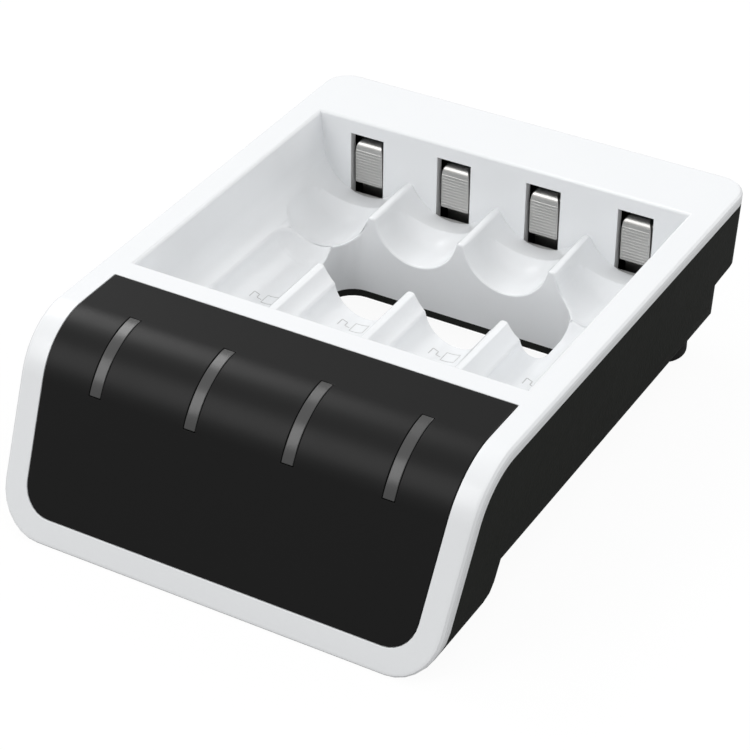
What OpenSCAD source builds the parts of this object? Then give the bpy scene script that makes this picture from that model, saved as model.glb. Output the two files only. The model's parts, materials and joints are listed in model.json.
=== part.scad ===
// Four-slot charger for round cells: white cover, black base, sprung contacts.
// Millimetres. Origin on the standing surface under the middle of the housing,
// +X to the right, +Y to the back, +Z up.

/* [Housing] */
// Width across the top edges of the side walls
body_w = 74; // [72:0.5:86]
// Length from the front lower edge to the back wall
body_l = 100.2; // [97:0.2:112]
// Height from the standing surface to the top
body_h = 28.5; // [27.8:0.1:34]
// Lean of the side walls from the vertical, in degrees
side_draft = 2.9; // [1:0.1:4]
// Lean of the front face from the vertical, in degrees
front_slant = 24.8; // [20:0.1:29]
// Radius of the crown between the top and the front face, as a share of the block before the bay
crown_share = 0.36; // [0.3:0.01:0.39]
// Radius of the back corners, seen from above
back_corner_r = 4.5; // [3:0.1:7]
// Radius of the lower corners of the front face
front_corner_r = 7.3; // [6:0.1:9]

/* [Cover] */
// Thickness of the cover's skin
skin_t = 2; // [1.7:0.1:2.6]
// Wall of the battery tray
tray_wall = 1.5; // [1.2:0.1:1.7]
// Rim between the bay and each side of the housing
side_rim = 5.2; // [4.8:0.1:8]
// Rim between the bay and the back wall
back_rim = 13.6; // [12.6:0.1:18]
// Bar between the bay and the front panel
front_bar = 4.1; // [3:0.1:6]

/* [Battery bay] */
// Length of the larger cell
cell_l = 50.5; // [49:0.1:52]
// Length of the smaller cell
small_cell_l = 44.5; // [43:0.1:46]
// Length of the bay beyond the larger cell
bay_slack = 2.8; // [2.6:0.1:4]
// Radius of a cradle as a share of the distance between neighbouring slots
cradle_share = 0.5125; // [0.505:0.0025:0.525]
// Depth of a cradle's axis below the top
cradle_depth = 5.5; // [5:0.1:6]
// Depth of the ridges between the slots below the top
ridge_depth = 8.85; // [8:0.05:9.5]
// Lean outwards of the bay's side walls, across their height
bay_flare = 0.5; // [0.2:0.1:0.9]
// Radius of the groove for the smaller cell
groove_r = 5.4; // [5:0.05:5.6]
// Depth of the groove's axis below the top
groove_depth = 10.9; // [10.5:0.1:11.6]
// Straight length of the groove beside the finger opening
groove_l = 8; // [6:0.1:10]
// Step from the cradle's radius to the radius of the finger pocket behind the opening
pocket_step = 0.85; // [0.7:0.05:1.2]
// Depth of the pocket's axis below the top
pocket_depth = 8; // [7.5:0.1:8.6]
// Straight length of the pocket behind the finger opening
pocket_l = 4.5; // [3:0.1:5]

/* [Finger opening] */
// Distance from the outer slots' axes in to the opening's ends
hole_in = 2.7; // [2.2:0.1:5]
// Length of the opening
hole_l = 15.2; // [12:0.1:17]
// Corner radius of the opening
hole_r = 4.4; // [2:0.1:5]
// Distance from the bay's back wall to the opening
hole_setback = 12.4; // [11:0.1:14]

/* [Front panel and lights] */
// Frame beside the panel at the top
panel_in = 4.05; // [3:0.05:6]
// Thickness of the panel
panel_t = 1.2; // [0.8:0.1:1.4]
// Height of the panel's lower edge
panel_low_z = 3.8; // [2.5:0.1:6]
// Radius of the panel's lower corners
panel_corner_r = 4.5; // [2:0.1:6]
// Gap round the panel and round each light bar
inlay_gap = 0.1; // [0.05:0.01:0.2]
// Width of a light bar
bar_w = 1.8; // [1.2:0.1:2.4]
// Depth of a light bar below the panel's face
bar_depth = 2.6; // [2.2:0.1:3.4]
// Length of a light bar's stem along the housing
stem_l = 3; // [2:0.1:3.6]

/* [Base] */
// Height of the skirt under the housing's top
skirt_h = 13.4; // [12:0.1:14]
// Overhang of the skirt behind the tub
tail_l = 4; // [3:0.1:5]
// Wall of the base
base_wall = 1.6; // [1.4:0.1:1.8]
// Depth of the tub's underside below the top
tub_depth = 23.9; // [23.7:0.1:24.7]
// Radius of the tub's long lower edges and its upright back edges
tub_edge_r = 7.4; // [6:0.1:8.4]
// Radius of the tub's lower back edge
tub_back_r = 2.2; // [1.5:0.1:3.4]
// Length of the toe from the front lower edge, at the underside's height
toe_l = 16.8; // [16:0.1:24]
// Lean of the toe's back face, in degrees
toe_lean = 26.4; // [10:0.2:30]
// Radius of the toe's lower back edge
toe_edge_r = 2.4; // [1.5:0.1:3]
// Radius of a rear foot
foot_r = 4; // [3:0.1:4.6]
// Depth of a rear foot's seat above the underside
foot_seat = 1.2; // [0.8:0.1:1.4]
// Distance of a rear foot's centre from the housing's side
foot_in = 8.85; // [8:0.05:13]
// Distance of a rear foot's centre from the tub's back
foot_back = 6; // [5.6:0.1:9]

/* [Circuit board] */
// Height of the board's underside over the tub's floor
board_rise = 1; // [0.8:0.05:1.2]
// Thickness of the board
board_t = 1.6; // [1.2:0.1:1.6]
// Gap between the board and the tub's walls
board_gap = 0.8; // [0.4:0.1:1.2]
// Length and width of the charge controller
chip_size = 7; // [5:0.5:8]
// Height of the small components
chip_h = 1.5; // [1:0.1:1.7]
// Length and width of the choke
choke_size = 7; // [5:0.5:8]
// Height of the choke
choke_h = 4; // [3:0.1:6]
// Radius of a capacitor
cap_r = 3.1; // [2:0.1:3.2]
// Height of a capacitor
cap_h = 7; // [5:0.1:9]
// Width of a light-emitting diode
led_w = 2; // [1.6:0.1:2.4]
// Height of a light-emitting diode
led_h = 0.9; // [0.6:0.1:1.2]

/* [Contacts] */
// Thickness of the contact strip
strip_t = 0.4; // [0.3:0.05:0.5]
// Width of a sprung leaf
leaf_w = 5; // [4:0.1:5.2]
// Gap between a leaf and the sides of its window
leaf_gap = 0.48; // [0.35:0.01:0.7]
// Distance of a leaf's face behind the bay's back wall
leaf_setback = 0.62; // [0.4:0.01:0.9]
// Height of a leaf's free leg
leaf_leg = 8.7; // [7.5:0.1:9]
// Mean radius of the bend at a leaf's top
leaf_bend_r = 1.2; // [1:0.05:1.3]
// Radius of a leaf's rolled root
root_r = 0.8; // [0.6:0.05:0.9]
// Radial clearance of the rolled root in its rail
root_gap = 0.05; // [0.02:0.01:0.08]
// Travel of a leaf when a cell is in place
cell_press = 0.8; // [0.4:0.1:1.2]
// Width of a front contact's upright
upright_w = 6; // [5:0.1:7]
// Width of a front contact's tread
tread_w = 3.6; // [3:0.1:4.2]

/* [Power inlet] */
// Width of the socket's shell
socket_w = 8.94; // [8:0.02:9.2]
// Height of the socket's shell
socket_h = 3.26; // [3:0.02:3.6]
// Length of the socket's shell
socket_l = 7.3; // [6:0.1:8]
// Wall of the socket's shell
socket_wall = 0.3; // [0.2:0.05:0.4]

/* [Fasteners] */
// Radius of a housing screw's shank
screw_r = 1.1; // [0.9:0.05:1.3]
// Length of a housing screw's shank
screw_l = 5.8; // [5:0.1:6]
// Radius of a board screw's shank
board_screw_r = 0.9; // [0.7:0.05:1]
// Length of a board screw's shank
board_screw_l = 2.6; // [2.2:0.1:2.8]

/* [Hidden] */
$fn = 64;

// Steps of the crown's arc and of the smaller corner arcs
crown_steps = 14;
corner_steps = 7;
// Length by which a cutting shape runs past a face
past = 1;
// Clearance of pieces that slip into each other
slip = 0.2;

back_y = body_l / 2;
front_y = -body_l / 2;
front_block = body_l - back_rim - cell_l - bay_slack;
crown_r = crown_share * front_block;
crown_z = body_h - crown_r;
crown_y = front_y + crown_z * tan(front_slant) + crown_r / cos(front_slant);
crown_end = 180 - front_slant;

slot_pitch = (body_w - 2 * side_rim) / (3 + 2 * cradle_share);
cradle_r = cradle_share * slot_pitch;
slots = [for (i = [0 : 3]) (i - 1.5) * slot_pitch];
bay_back = back_y - back_rim;
bay_front = bay_back - cell_l - bay_slack;
bay_half = slots[3] + cradle_r;
cradle_z = body_h - cradle_depth;
ridge_z = body_h - ridge_depth;
groove_z = body_h - groove_depth;
pocket_z = body_h - pocket_depth;
pocket_r = cradle_r - pocket_step;
hole_back = bay_back - hole_setback;
hole_front = hole_back - hole_l;
hole_w = 2 * (slots[3] - hole_in);
groove_end = hole_front + groove_l;
hole_y = (hole_back + hole_front) / 2;
panel_top_y = bay_front - front_bar;
panel_w = body_w - 2 * panel_in;

ledge_z = body_h - skirt_h;
ledge_top = ledge_z + base_wall;
tub_back = back_y - tail_l;
belly_z = body_h - tub_depth;
floor_z = belly_z + base_wall;
toe_back = front_y + toe_l;
toe_flat = toe_back - (belly_z - toe_edge_r) * tan(toe_lean) - toe_edge_r;
tub_start = toe_back - 2 * base_wall;
room_w = body_w - 2 * base_wall;
room_r = tub_edge_r - base_wall;
foot_x = body_w / 2 - foot_in;
foot_y = tub_back - foot_back;
// The tube of the finger opening stands in a rebate of the base's floor
rebate = 0.35;
tube_z = floor_z - rebate;
tube_grow = 2 * tray_wall;

board_z = floor_z + board_rise;
board_top = board_z + board_t;
board_half = room_x(board_z) - board_gap;
board_front = front_line(skin_t + base_wall, board_z) + board_gap;
board_back = tub_back - base_wall - board_gap;

// Sprung leaves: face of the free leg, bend and rolled root
leaf_y = bay_back + leaf_setback;
root_y = leaf_y + strip_t / 2 + 2 * leaf_bend_r;
root_z = board_top + root_r + 1;
window_w = leaf_w + 2 * leaf_gap;
window_top = body_h - 2.7;
window_low = cradle_z - cradle_r - 0.6;
leaf_top = window_top - 0.4;
bend_z = leaf_top - leaf_bend_r - strip_t / 2;
leaf_low = leaf_top - leaf_leg;
rail_l = 3;
rail_top = root_z + root_r + 0.4;
rail_in = socket_w / 2 + 0.45;
rail_out = slots[3] + leaf_w / 2 + past;

// Front contacts: faces that the two cell sizes press on
stop_y = leaf_y + cell_press - cell_l;
small_stop_y = leaf_y + cell_press - small_cell_l;
tread_z = cradle_z - cradle_r - 0.35;
upright_top = cradle_z + 1.2;
pedestal_z = upright_top + 0.4;
lip_z = groove_z - sqrt(pow(groove_r, 2) - pow(tread_w / 2, 2)) + 0.1;

socket_y = tub_back - 0.3;
socket_z = board_top + socket_h / 2;

// Screw posts, wide enough to hold a sunk screw head
head_r = 2 * screw_r;
post_r = head_r + slip + 0.8;
back_post_x = room_x(board_z) - post_r - board_gap / 2;
front_post_x = slots[3] + bar_w / 2 + post_r + 3 * slip;
front_post_y = toe_flat + slip - head_r;
back_post_y = hole_back + 4;
// Height of a screw's seat over the underside that it enters
seat_rise = 2.2;
// Height of the joint between the base's posts and the cover's over a screw's seat
post_joint = 2;
board_boss_r = 2.4;
board_screw_at = [
    [slots[3] + 3.8, hole_y],
    [slots[3] + 3.4, panel_top_y]
];

led_y = crown_y + (crown_r - bar_depth / 2) * cos((90 + crown_end) / 2);
parts_y = bay_front - tray_wall - 0.5 - choke_size / 2;
transistor_w = 5;
transistor_l = 3.4;
transistor_y = root_y - rail_l / 2 - 2 - transistor_l / 2;

// Half width of a drafted outline that is w wide at the top
function side_x(w, z) = w / 2 - (body_h - z) * tan(side_draft);

// Half width of the room in the tub at a height z of its rounded lower edge
function room_x(z) =
    let (zc = floor_z + room_r)
    side_x(room_w, zc) - room_r / cos(side_draft) + sqrt(pow(room_r, 2) - pow(zc - z, 2));

// Front face at a depth d under the outer surface, at height z
function front_line(d, z) = crown_y - (crown_r - d) / cos(front_slant) + (z - crown_z) * tan(front_slant);

function arc(c, r, a0, a1, n) = [
    for (i = [0 : n])
        let (a = a0 + (a1 - a0) * i / n)
        c + r * [cos(a), sin(a)]
];

// Housing seen from the side, at a depth d under its outer surface
function side_profile(d, y_back, z_low) = concat(
    [[y_back, z_low], [y_back, body_h - d]],
    arc([crown_y, crown_z], crown_r - d, 90, crown_end, crown_steps),
    [[front_line(d, z_low), z_low]]
);

// Drafted outline seen from the front, with rounded lower corners
function drafted_outline(w, z_top, z_low, r) =
    let (
        cx = side_x(w, z_low + r) - r / cos(side_draft),
        right = arc([cx, z_low + r], r, -side_draft, -90, corner_steps)
    )
    concat(
        [[side_x(w, z_top), z_top]],
        right,
        [for (i = [corner_steps : -1 : 0]) [-right[i][0], right[i][1]]],
        [[-side_x(w, z_top), z_top]]
    );

// Outline seen from above, open to the front, with rounded back corners
function back_plan(hw, y0, y1, r) = concat(
    [[-hw, y0], [hw, y0]],
    arc([hw - r, y1 - r], r, 0, 90, corner_steps),
    arc([r - hw, y1 - r], r, 90, 180, corner_steps)
);

function rounded_rect(w, l, r) = concat(
    arc([w / 2 - r, l / 2 - r], r, 0, 90, corner_steps),
    arc([r - w / 2, l / 2 - r], r, 90, 180, corner_steps),
    arc([r - w / 2, r - l / 2], r, 180, 270, corner_steps),
    arc([w / 2 - r, r - l / 2], r, 270, 360, corner_steps)
);

// Extrude an outline in (y, z) along X, or an outline in (x, z) along Y
module along_x(w) rotate([90, 0, 90]) linear_extrude(w, center = true) children();
module along_y(y0, y1) translate([0, y1, 0]) rotate([90, 0, 0]) linear_extrude(y1 - y0) children();

module box(x0, x1, y0, y1, z0, z1) translate([x0, y0, z0]) cube([x1 - x0, y1 - y0, z1 - z0]);
module rod_y(r, x, z, y0, y1) translate([x, y1, z]) rotate([90, 0, 0]) cylinder(r = r, h = y1 - y0);
module post(r, x, y, z0, z1) translate([x, y, z0]) cylinder(r = r, h = z1 - z0);
module both_sides() {
    children();
    mirror([1, 0, 0]) children();
}

// Outer form of the whole housing
module envelope() difference() {
    intersection() {
        along_x(2 * body_w) polygon(side_profile(0, back_y, -past));
        along_y(-body_l, body_l) polygon(drafted_outline(body_w, body_h + past, 0, front_corner_r));
    }
    both_sides() back_corner_cut(body_w / 2, back_y, back_corner_r);
}

// What lies outside a rounded back corner, leaning with the side wall
module back_corner_cut(x, y, r) {
    c = [-r, y - r];
    translate([x, 0, body_h]) rotate([0, side_draft, 0]) translate([0, 0, -2 * body_h])
        linear_extrude(3 * body_h) polygon(concat(
            arc(c, r, 0, 90, corner_steps),
            [[c[0], y + past], [past, y + past], [past, c[1]]]
        ));
}

// Space under the cover's skin
module under_skin(d) along_x(2 * body_w) polygon(side_profile(d, back_y + past, -past));

module top_cover() color("white") difference() {
    union() {
        difference() {
            envelope();
            under_skin(skin_t);
        }
        tray_solid();
        both_sides() intersection() {
            post(post_r, front_post_x, front_post_y, seat_rise + post_joint, body_h);
            under_skin(skin_t / 2 + panel_t / 2);
        }
        both_sides() post(post_r, back_post_x, back_post_y, belly_z + seat_rise + post_joint, cradle_z);
    }
    bay_space();
    panel_recess();
    for (x = slots) translate([x, 0, 0]) {
        bar_slot();
        leaf_window();
        front_contact_space();
    }
    both_sides() screw_holes();
}

// Walls of the battery tray before its hollows are cut
module tray_solid() {
    y0 = bay_front - tray_wall;
    y1 = bay_back + tray_wall;
    hw = bay_half + tray_wall;
    box(-hw, hw, y0, y1, cradle_z, body_h - skin_t / 2);
    intersection() {
        box(-body_w, body_w, y0, y1, 0, cradle_z);
        for (x = slots) translate([x, 0, 0]) {
            rod_y(cradle_r + tray_wall, 0, cradle_z, y0, y1);
            small_groove(tray_wall);
            finger_pocket(tray_wall);
        }
    }
    translate([0, hole_y, tube_z]) linear_extrude(cradle_z - tube_z)
        polygon(rounded_rect(hole_w + tube_grow, hole_l + tube_grow, hole_r + tray_wall));
}

// Groove for the smaller cell, with a round end beside the finger opening
module small_groove(grow) {
    start = small_stop_y - strip_t - grow;
    r = groove_r + grow;
    translate([0, start, groove_z]) rotate([-90, 0, 0]) rotate_extrude()
        polygon(concat([[0, 0], [r, 0]], arc([0, groove_end - start], r, 0, 90, corner_steps)));
}

// Finger pocket in the cradle behind the opening, round at both ends
module finger_pocket(grow) {
    r = pocket_r + grow;
    translate([0, hole_back, pocket_z]) rotate([-90, 0, 0]) rotate_extrude()
        polygon(concat(arc([0, 0], r, -90, 0, corner_steps), arc([0, pocket_l], r, 0, 90, corner_steps)));
}

// Everything that is open inside the battery bay
module bay_space() {
    bay_prism(stop_y - strip_t, cradle_z);
    bay_prism(bay_front, pedestal_z);
    box(slots[0], slots[3], stop_y - strip_t, bay_back, ridge_z, cradle_z + past);
    for (x = slots) translate([x, 0, 0]) {
        rod_y(cradle_r, 0, cradle_z, stop_y - strip_t, bay_back);
        small_groove(0);
        finger_pocket(0);
    }
    translate([0, hole_y, 0]) linear_extrude(cradle_z) polygon(rounded_rect(hole_w, hole_l, hole_r));
}

// Bay between its flared side walls, from a height z up
module bay_prism(y0, z) {
    rate = bay_flare / cradle_depth;
    low = bay_half + rate * (z - cradle_z);
    high = bay_half + rate * (body_h + past - cradle_z);
    along_y(y0, bay_back) polygon([[-low, z], [low, z], [high, body_h + past], [-high, body_h + past]]);
}

module panel_recess() difference() {
    intersection() {
        under_skin(-past);
        along_y(-body_l, panel_top_y + inlay_gap)
            polygon(drafted_outline(panel_w + 2 * inlay_gap, body_h + 2 * past, panel_low_z - inlay_gap,
                panel_corner_r));
    }
    under_skin(panel_t);
}

module bar_slot() {
    c = [crown_y, crown_z];
    spare = inlay_gap / crown_r * 180 / PI;
    along_x(bar_w + 2 * inlay_gap) polygon(concat(
        arc(c, crown_r + past, 90 - spare, crown_end + spare, crown_steps),
        arc(c, crown_r - bar_depth - past, crown_end + spare, 90 - spare, crown_steps)
    ));
}

module leaf_window()
    box(-window_w / 2, window_w / 2, bay_back, bay_back + tray_wall + past, window_low, window_top);

// Slots for a front contact's tread and its leg through the tray
module front_contact_space() {
    tread_half = tread_w / 2 + slip;
    leg_half = upright_w / 2 + slip;
    box(-tread_half, tread_half, stop_y - strip_t, small_stop_y, tread_z, cradle_z);
    box(-leg_half, leg_half, stop_y - strip_t, stop_y + slip, board_top, cradle_z);
}

module screw_holes() {
    post(screw_r + root_gap, front_post_x, front_post_y, 0, seat_rise + screw_l + slip);
    post(screw_r + root_gap, back_post_x, back_post_y, 0, belly_z + seat_rise + screw_l + slip);
}

module front_panel() color([0.05, 0.05, 0.05]) difference() {
    intersection() {
        under_skin(0);
        along_y(-body_l, panel_top_y)
            polygon(drafted_outline(panel_w, body_h + past, panel_low_z, panel_corner_r));
    }
    under_skin(panel_t);
    for (x = slots) translate([x, 0, 0]) bar_slot();
}

// Light guide: curved bar in the panel and a stem down to its diode
module light_bar(x) color([0.6, 0.6, 0.6]) translate([x, 0, 0]) {
    c = [crown_y, crown_z];
    along_x(bar_w) polygon(concat(
        arc(c, crown_r, 90, crown_end, crown_steps),
        arc(c, crown_r - bar_depth, crown_end, 90, crown_steps)
    ));
    stem_top = crown_z + (crown_r - bar_depth / 3) * sin((90 + crown_end) / 2);
    box(-bar_w / 2, bar_w / 2, led_y - stem_l / 2, led_y + stem_l / 2, board_top + led_h, stem_top);
}

module base_shell() color([0.13, 0.13, 0.12]) difference() {
    union() {
        difference() {
            union() {
                skirt();
                tub();
            }
            tub_space();
        }
        both_sides() {
            post(post_r, front_post_x, front_post_y, past, seat_rise + post_joint);
            post(post_r, back_post_x, back_post_y, belly_z + past, belly_z + seat_rise + post_joint);
            for (at = board_screw_at) post(board_boss_r, at[0], at[1], belly_z + past, board_z);
            intersection() {
                tub();
                post(foot_r + past, foot_x, foot_y, belly_z, floor_z + past / 2);
            }
        }
    }
    translate([0, hole_y, 0]) linear_extrude(body_h) polygon(rounded_rect(hole_w, hole_l, hole_r));
    translate([0, hole_y, tube_z]) linear_extrude(body_h)
        polygon(rounded_rect(hole_w + tube_grow + slip, hole_l + tube_grow + slip, hole_r + tray_wall));
    along_y(socket_y - base_wall - past, back_y) translate([0, socket_z])
        polygon(rounded_rect(socket_w + 2 * slip, socket_h + 2 * slip, socket_h / 2 + slip - 0.05));
    both_sides() {
        screw_holes();
        post(head_r + slip, front_post_x, front_post_y, -past, seat_rise);
        post(post_r + slip, front_post_x, front_post_y, seat_rise + post_joint, body_h);
        post(head_r + slip, back_post_x, back_post_y, 0, belly_z + seat_rise);
        post(foot_r + root_gap, foot_x, foot_y, 0, belly_z + foot_seat);
        for (at = board_screw_at)
            post(board_screw_r + root_gap, at[0], at[1], board_z - board_screw_l + board_t - slip, board_top);
    }
}

// Upper part of the base, flush with the cover's sides
module skirt() difference() {
    intersection() {
        envelope();
        along_x(2 * body_w) polygon(side_profile(skin_t, back_y + past, ledge_z));
    }
    translate([0, 0, ledge_top]) linear_extrude(body_h)
        polygon(back_plan(side_x(body_w, ledge_top + 2 * past) - base_wall, -body_l, back_y - base_wall,
            max(0.5, back_corner_r - base_wall)));
}

// Lower part of the base: tub and the toe that it stands on
module tub() {
    difference() {
        intersection() {
            along_y(-body_l, body_l)
                polygon(drafted_outline(body_w, ledge_top + past, belly_z, tub_edge_r));
            along_x(2 * body_w) polygon(concat(
                [[tub_start, ledge_top], [tub_back, ledge_top]],
                arc([tub_back - tub_back_r, belly_z + tub_back_r], tub_back_r, 0, -90, corner_steps),
                [[tub_start, belly_z]]
            ));
        }
        both_sides() back_corner_cut(body_w / 2, tub_back, tub_edge_r);
    }
    rise = tan(toe_lean);
    intersection() {
        along_y(-body_l, body_l) polygon(drafted_outline(body_w, ledge_top + past, 0, front_corner_r));
        along_x(2 * body_w) polygon(concat(
            [
                [front_line(skin_t, ledge_top), ledge_top],
                [toe_back + (ledge_top - belly_z) * rise, ledge_top]
            ],
            arc([toe_flat, toe_edge_r], toe_edge_r, 0, -90, corner_steps),
            [[front_line(skin_t, 0), 0]]
        ));
    }
}

// Room inside the tub and the toe
module tub_space() {
    d = skin_t + base_wall;
    top = ledge_top + past;
    // The corner's arc starts a hair outside the side wall, so that it crosses it
    hair = 0.05;
    difference() {
        along_y(tub_start, tub_back - base_wall) polygon(drafted_outline(room_w, top, floor_z, room_r));
        both_sides() back_corner_cut(room_w / 2 + hair, tub_back - base_wall + hair, room_r + hair);
    }
    intersection() {
        along_y(-body_l, body_l)
            polygon(drafted_outline(room_w, body_h, base_wall, front_corner_r - base_wall));
        along_x(2 * body_w) polygon([
            [front_line(d, base_wall), base_wall],
            [toe_back - belly_z * tan(toe_lean) - base_wall, base_wall],
            [toe_back - base_wall, floor_z],
            [toe_back - base_wall, top],
            [front_line(d, top), top]
        ]);
    }
}

module rear_foot(side) color([0.2, 0.2, 0.2]) translate([side * foot_x, foot_y, 0]) {
    edge = min(1.2, foot_r / 3);
    top = belly_z + foot_seat;
    rotate_extrude() polygon(concat(
        [[0, top], [0, 0], [foot_r - edge, 0]],
        arc([foot_r - edge, edge], edge, -90, 0, corner_steps),
        [[foot_r, top]]
    ));
}

module circuit_board() color([0.1, 0.35, 0.2]) difference() {
    translate([0, 0, board_z]) linear_extrude(board_t)
        polygon(back_plan(board_half, board_front, board_back, room_r - board_gap));
    translate([0, hole_y, 0]) linear_extrude(body_h) polygon(rounded_rect(
        hole_w + tube_grow + 2 * board_gap, hole_l + tube_grow + 2 * board_gap, hole_r + tray_wall));
    both_sides() {
        post(post_r + board_gap / 2, front_post_x, front_post_y, 0, body_h);
        box(front_post_x, body_w, -body_l, front_post_y, 0, body_h);
        post(post_r + board_gap / 2, back_post_x, back_post_y, 0, body_h);
        for (at = board_screw_at) post(board_screw_r + slip, at[0], at[1], 0, body_h);
    }
}

module on_board(w, l, h, x, y) box(x - w / 2, x + w / 2, y - l / 2, y + l / 2, board_top, board_top + h);

module led(x) color([0.9, 0.9, 0.7]) on_board(led_w, led_w * 0.8, led_h, x, led_y);
module charge_controller() color([0.1, 0.1, 0.1]) on_board(chip_size, chip_size, chip_h, 0, parts_y);
module channel_transistor(x) color([0.1, 0.1, 0.1])
    on_board(transistor_w, transistor_l, chip_h, x, transistor_y);

module choke() color([0.25, 0.25, 0.26]) difference() {
    on_board(choke_size, choke_size, choke_h, -slot_pitch, parts_y);
    post(choke_size / 3, -slot_pitch, parts_y, board_top + choke_h - 0.4, board_top + choke_h + past);
}

module capacitor(k) color([0.75, 0.75, 0.78])
    post(cap_r, slot_pitch + k * (cap_r + slip), parts_y, board_top, board_top + cap_h);

module inlet_socket() color("silver") difference() {
    along_y(socket_y - socket_l, socket_y) translate([0, socket_z])
        polygon(rounded_rect(socket_w, socket_h, socket_h / 2 - 0.05));
    along_y(socket_y - socket_l + socket_wall, socket_y + past) translate([0, socket_z])
        polygon(rounded_rect(socket_w - 2 * socket_wall, socket_h - 2 * socket_wall,
            socket_h / 2 - socket_wall - 0.05));
}

module inlet_tongue() color([0.1, 0.1, 0.1])
    translate([0, socket_y - socket_l + socket_wall + 2.6, socket_z])
        cube([socket_w - 2.2, 5.2, 0.7], center = true);

// Sprung leaf: free leg, bend at the top, back leg and rolled root
module rear_contact(x) color([0.75, 0.75, 0.75]) translate([x, 0, 0]) {
    mid = leaf_y + strip_t / 2 + leaf_bend_r;
    ro = leaf_bend_r + strip_t / 2;
    ri = leaf_bend_r - strip_t / 2;
    along_x(leaf_w) polygon(concat(
        [[mid + ro, root_z]],
        arc([mid, bend_z], ro, 0, 180, crown_steps),
        [[mid - ro, leaf_low], [mid - ri, leaf_low]],
        arc([mid, bend_z], ri, 180, 0, crown_steps),
        [[mid + ri, root_z]]
    ));
    translate([0, root_y, root_z]) rotate([0, 90, 0]) cylinder(r = root_r, h = leaf_w, center = true);
}

// Rail on the board that holds two rolled roots
module contact_rail(side) color([0.15, 0.15, 0.15]) difference() {
    x0 = min(side * rail_in, side * rail_out);
    x1 = max(side * rail_in, side * rail_out);
    box(x0, x1, root_y - rail_l / 2, root_y + rail_l / 2, board_top, rail_top);
    for (x = slots) translate([x, root_y, root_z]) {
        w = leaf_w + 2 * slip;
        rotate([0, 90, 0]) cylinder(r = root_r + root_gap, h = w, center = true);
        box(-w / 2, w / 2, -strip_t / 2 - slip, strip_t / 2 + 2 * slip, 0, rail_l);
    }
}

// Stepped strip: upright for the larger cell, tread and lip for the smaller one
module front_contact(x) color([0.75, 0.75, 0.75]) translate([x, 0, 0]) {
    box(-upright_w / 2, upright_w / 2, stop_y - strip_t, stop_y, board_top, upright_top);
    along_x(tread_w) polygon([
        [stop_y - strip_t / 2, tread_z],
        [small_stop_y - strip_t, tread_z],
        [small_stop_y - strip_t, lip_z],
        [small_stop_y, lip_z],
        [small_stop_y, tread_z + strip_t],
        [stop_y - strip_t / 2, tread_z + strip_t]
    ]);
}

module pan_screw(r, l) {
    rotate_extrude() polygon([
        [0, -1.5 * r], [1.6 * r, -1.5 * r], [2 * r, -r], [2 * r, 0], [r, 0], [r, l - r], [0, l]
    ]);
}

module housing_screws() color("silver") both_sides() {
    translate([front_post_x, front_post_y, seat_rise]) pan_screw(screw_r, screw_l);
    translate([back_post_x, back_post_y, belly_z + seat_rise]) pan_screw(screw_r, screw_l);
}

module board_screws() color("silver") both_sides()
    for (at = board_screw_at)
        translate([at[0], at[1], board_top]) rotate([180, 0, 0]) pan_screw(board_screw_r, board_screw_l);

top_cover();
front_panel();
light_bar(slots[0]);  // light_bar_1
light_bar(slots[1]);  // light_bar_2
light_bar(slots[2]);  // light_bar_3
light_bar(slots[3]);  // light_bar_4
base_shell();
rear_foot(-1);  // rear_foot_left
rear_foot(1);  // rear_foot_right
circuit_board();
led(slots[0]);  // led_1
led(slots[1]);  // led_2
led(slots[2]);  // led_3
led(slots[3]);  // led_4
charge_controller();
channel_transistor(slots[0]);  // channel_transistor_1
channel_transistor(slots[1]);  // channel_transistor_2
channel_transistor(slots[2]);  // channel_transistor_3
channel_transistor(slots[3]);  // channel_transistor_4
choke();
capacitor(-1);  // capacitor_1
capacitor(1);  // capacitor_2
inlet_socket();
inlet_tongue();
rear_contact(slots[0]);  // rear_contact_1
rear_contact(slots[1]);  // rear_contact_2
rear_contact(slots[2]);  // rear_contact_3
rear_contact(slots[3]);  // rear_contact_4
contact_rail(-1);  // contact_rail_left
contact_rail(1);  // contact_rail_right
front_contact(slots[0]);  // front_contact_1
front_contact(slots[1]);  // front_contact_2
front_contact(slots[2]);  // front_contact_3
front_contact(slots[3]);  // front_contact_4
housing_screws();
board_screws();
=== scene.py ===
"""Looks of a desktop charger for round cells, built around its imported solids."""

import json
import logging
import math
from dataclasses import dataclass, field
from enum import Enum
from typing import Callable, Optional, Sequence, Union

import bmesh
import bpy
from mathutils import Matrix, Vector


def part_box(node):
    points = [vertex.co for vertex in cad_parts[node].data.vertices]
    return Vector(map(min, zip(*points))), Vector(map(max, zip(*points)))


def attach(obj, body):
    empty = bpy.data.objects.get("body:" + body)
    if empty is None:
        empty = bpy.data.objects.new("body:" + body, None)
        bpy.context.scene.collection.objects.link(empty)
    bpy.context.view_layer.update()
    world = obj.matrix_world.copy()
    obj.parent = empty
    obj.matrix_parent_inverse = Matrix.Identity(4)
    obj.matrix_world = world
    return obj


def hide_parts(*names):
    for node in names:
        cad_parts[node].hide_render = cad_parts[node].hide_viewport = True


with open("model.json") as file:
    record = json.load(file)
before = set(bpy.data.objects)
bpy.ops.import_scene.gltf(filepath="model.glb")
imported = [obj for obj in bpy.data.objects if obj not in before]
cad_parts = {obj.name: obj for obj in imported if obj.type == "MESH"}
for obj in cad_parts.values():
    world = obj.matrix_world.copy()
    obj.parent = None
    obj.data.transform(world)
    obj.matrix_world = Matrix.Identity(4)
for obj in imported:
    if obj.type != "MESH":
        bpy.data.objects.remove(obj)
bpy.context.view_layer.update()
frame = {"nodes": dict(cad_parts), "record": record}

MM = 0.001
HOUSING = "housing"
SLOTS = (1, 2, 3, 4)

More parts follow.
